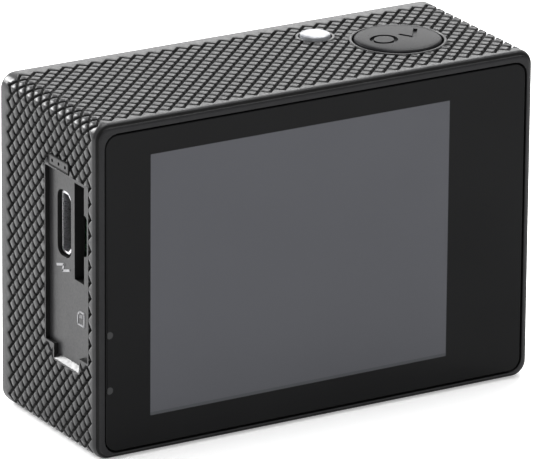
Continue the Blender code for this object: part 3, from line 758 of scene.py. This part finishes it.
# Lens ring: fine grip grooves, chamfered lip, stepped light trap inside.
lo, hi = station("lens_ring")
lx, lz, y0, y1 = (lo[0] + hi[0]) / 2, (lo[2] + hi[2]) / 2, lo[1], hi[1]
R = (hi[0] - lo[0]) / 2
prof = [(8.6, y0 + 0.02), (min(R, 10.0), y0 + 0.02), (min(R, 10.0), D + 0.05), (R - 0.02, D + 0.06)]
y = D + 0.5
while y < y1 - 1.1:
    prof += [(R - 0.02, y), (R - 0.15, y + 0.07), (R - 0.15, y + 0.19), (R - 0.02, y + 0.26)]
    y += 0.52
prof += [(R - 0.02, y1 - 0.42), (R - 0.10, y1 - 0.20), (R - 0.30, y1 - 0.05), (R - 0.50, y1 - 0.01),
         (R - 0.95, y1 - 0.01), (R - 1.02, y1 - 0.08)]
r, y = R - 1.02, y1 - 0.35
for k in range(3):
    prof += [(r, y), (max(8.6, r - 0.14), y - 0.02)]
    r, y = max(8.6, r - 0.14), y - 0.45
prof += [(8.6, y)] if prof[-1][0] > 8.6 + 1e-6 else []
clean = [prof[0]]
for q in prof[1:]:
    if abs(q[0] - clean[-1][0]) + abs(q[1] - clean[-1][1]) > 1e-4:
        clean.append(q)
piece("lens_grip_ring", lathe(clean, (lx, 0, lz), "Y", 128), "alloy_black", "lens_ring", angle=25)

# Lens front: domed coated element held by a stepped black retaining ring.
lo, hi = station("lens_window")
y0, y1 = lo[1], hi[1]
piece("lens_retainer", lathe([(8.33, y0), (8.33, y1 - 0.05), (7.60, y1 - 0.05), (7.50, y1 - 0.15),
                              (6.90, y1 - 0.18), (6.80, y1 - 0.28), (6.20, y1 - 0.31),
                              (6.10, y1 - 0.42), (5.60, y1 - 0.45), (5.50, y0)],
                             (lx, 0, lz), "Y", 96), "spun_black", "lens_window")
piece("lens_dome", lathe([(0, y0 + 0.05), (5.46, y0 + 0.05), (5.46, y1 - 0.42), (4.6, y1 - 0.30),
                          (3.4, y1 - 0.18), (1.9, y1 - 0.09), (0, y1 - 0.06)],
                         (lx, 0, lz), "Y", 96), "lens_coated", "lens_window", replace=False, angle=40)

# Power key: dished face with a fine ring mark.
lo, hi = station("power_button")
px, pz, y0, y1 = (lo[0] + hi[0]) / 2, (lo[2] + hi[2]) / 2, lo[1], hi[1]
rf = (hi[0] - lo[0]) / 2
prof = [(0, y0)]
if rf > 4.6:
    prof += [(rf, y0), (rf, y0 + 0.3), (4.48, y0 + 0.3)]
else:
    prof += [(4.48, y0)]
prof += [(4.48, y1 - 0.26), (4.43, y1 - 0.12), (4.30, y1 - 0.03), (4.08, y1 - 0.01), (3.8, y1 - 0.06),
         (3.2, y1 - 0.15), (2.2, y1 - 0.22), (1.1, y1 - 0.25), (0, y1 - 0.26)]
piece("power_key", lathe(prof, (px, 0, pz), "Y", 128), "key_plastic", "power_button", angle=25)
piece("power_mark", lathe([(1.05, y1 - 0.34), (1.30, y1 - 0.34), (1.30, y1 - 0.215), (1.05, y1 - 0.215)],
                          (px, 0, pz), "Y", 64), "mark_grey", "power_button", replace=False)

# Arrow marks on the side keys.
for node, way in (("up_button", 1), ("down_button", -1)):
    lo, hi = station(node)
    y, z, x = (lo[1] + hi[1]) / 2, (lo[2] + hi[2]) / 2, hi[0]
    bm = bmesh.new()
    tri = [(y - 0.55, z - way * 0.45), (y + 0.55, z - way * 0.45), (y, z + way * 0.5)]
    a = [bm.verts.new((x - 0.10, *q)) for q in tri]
    b = [bm.verts.new((x + 0.015, *q)) for q in tri]
    bm.faces.new(a), bm.faces.new(b[::-1])
    for k in range(3):
        bm.faces.new([a[k], b[k], b[(k + 1) % 3], a[(k + 1) % 3]])
    bmesh.ops.recalc_face_normals(bm, faces=bm.faces)
    piece(node + "_arrow", bm, "mark_grey", node, replace=False)

# Small raised marks on the recess floor: a bolt under the port, a card under the slot.
marks = [((10.1, 21.25), (8.45, 21.75)), ((8.45, 21.75), (8.85, 20.85)), ((8.85, 20.85), (7.2, 21.35))]
for y0, z0, y1, z1 in ((5.2, 15.5, 5.2, 16.7), (5.2, 15.5, 3.7, 15.5), (3.7, 15.5, 3.7, 17.1),
                       (3.7, 17.1, 4.7, 17.1), (4.7, 17.1, 5.2, 16.7), (4.2, 16.75, 4.2, 16.45),
                       (4.6, 16.7, 4.6, 16.4)):
    marks.append(((y0, z0), (y1, z1)))
for k, (p, q) in enumerate(marks):
    piece("recess_mark_%d" % k, bar(p, q, 0.30 if k < 3 else 0.20, 0.56, 0.68, "X"), "trim_light",
          "housing", replace=False)


# Dark outline of the small plate above the recess.
for k, (p, q) in enumerate((((6.40, 33.42), (10.97, 33.42)), ((10.97, 33.42), (10.97, 34.58)),
                            ((10.97, 34.58), (6.40, 34.58)), ((6.40, 34.58), (6.40, 33.42)))):
    piece("plate_gap_%d" % k, bar(p, q, 0.15, -0.006, 0.12, "X"), "hole_black", "housing",
          replace=False)


# ================================================================== camera
def look():
    az, el, roll = math.radians(-30.70), math.radians(19.22), math.radians(0.453)
    target = Vector((31.277, 12.0, 21.346))
    b = Vector((math.sin(az) * math.cos(el), -math.cos(az) * math.cos(el), math.sin(el)))
    r = Vector((0, 0, 1)).cross(b).normalized()
    u = b.cross(r)
    r2 = math.cos(roll) * r + math.sin(roll) * u
    u2 = -math.sin(roll) * r + math.cos(roll) * u
    eye = target + b * 809.8
    cam = bpy.data.cameras.new("camera")
    cam.sensor_width = 36.0
    cam.lens = 6856.9 / 533.0 * 36.0
    cam.shift_x, cam.shift_y = -0.0201, -0.0256
    cam.clip_start, cam.clip_end = 0.01, 20.0
    ob = bpy.data.objects.new("camera_view", cam)
    m = Matrix((r2, u2, b)).transposed().to_4x4()
    m.translation = P(*eye)
    ob.matrix_world = m
    bpy.context.scene.collection.objects.link(ob)
    bpy.context.scene.camera = ob


look()


# ================================================================== studio
def studio():
    bm = bmesh.new()
    bmesh.ops.create_grid(bm, x_segments=1, y_segments=1, size=9.0)
    me = bpy.data.meshes.new("floor")
    bm.to_mesh(me)
    bm.free()
    m, t, b = material("floor_paper")
    v = coords(t, 100.0)
    t.links.new(ramp(t, noise(t, v, 0.6, 2.0), [(0.3, (0.90, 0.90, 0.90)), (0.7, (0.91, 0.91, 0.91))]),
                b.inputs["Base Color"])
    b.inputs["Roughness"].default_value = 0.9
    b.inputs["Specular IOR Level"].default_value = 0.1
    b.inputs["Emission Color"].default_value = (1, 1, 1, 1)
    b.inputs["Emission Strength"].default_value = 0.30
    me.materials.append(m)
    floor = bpy.data.objects.new("floor", me)
    floor.location = (0, 0, -0.00002)
    bpy.context.scene.collection.objects.link(floor)

    w = bpy.data.worlds.new("studio")
    w.use_nodes = True
    w.node_tree.nodes["Background"].inputs["Color"].default_value = (1, 1, 1, 1)
    w.node_tree.nodes["Background"].inputs["Strength"].default_value = 0.55
    bpy.context.scene.world = w

    def area(name, pos, size, power, target=(0, 0, 0.02), size_y=None):
        l = bpy.data.lights.new(name, 'AREA')
        l.energy, l.size = power, size
        if size_y:
            l.shape, l.size_y = 'RECTANGLE', size_y
        o = bpy.data.objects.new(name, l)
        o.location = pos
        d = Vector(target) - Vector(pos)
        o.rotation_euler = d.to_track_quat('-Z', 'Y').to_euler()
        bpy.context.scene.collection.objects.link(o)
        return o

    area("overhead", (0.05, 0.05, 1.10), 0.60, 8.0)
    area("back_right", (0.52, 0.54, 0.82), 0.45, 5.5)
    area("back_left", (-0.42, 0.92, 0.50), 0.40, 17.0, size_y=0.30)
    area("back_low", (0.52, 0.90, 0.38), 0.80, 2.8, size_y=0.35)
    area("front_fill", (0.35, -0.95, 0.75), 0.8, 2.2)


studio()
bpy.context.scene.view_settings.view_transform = 'Standard'
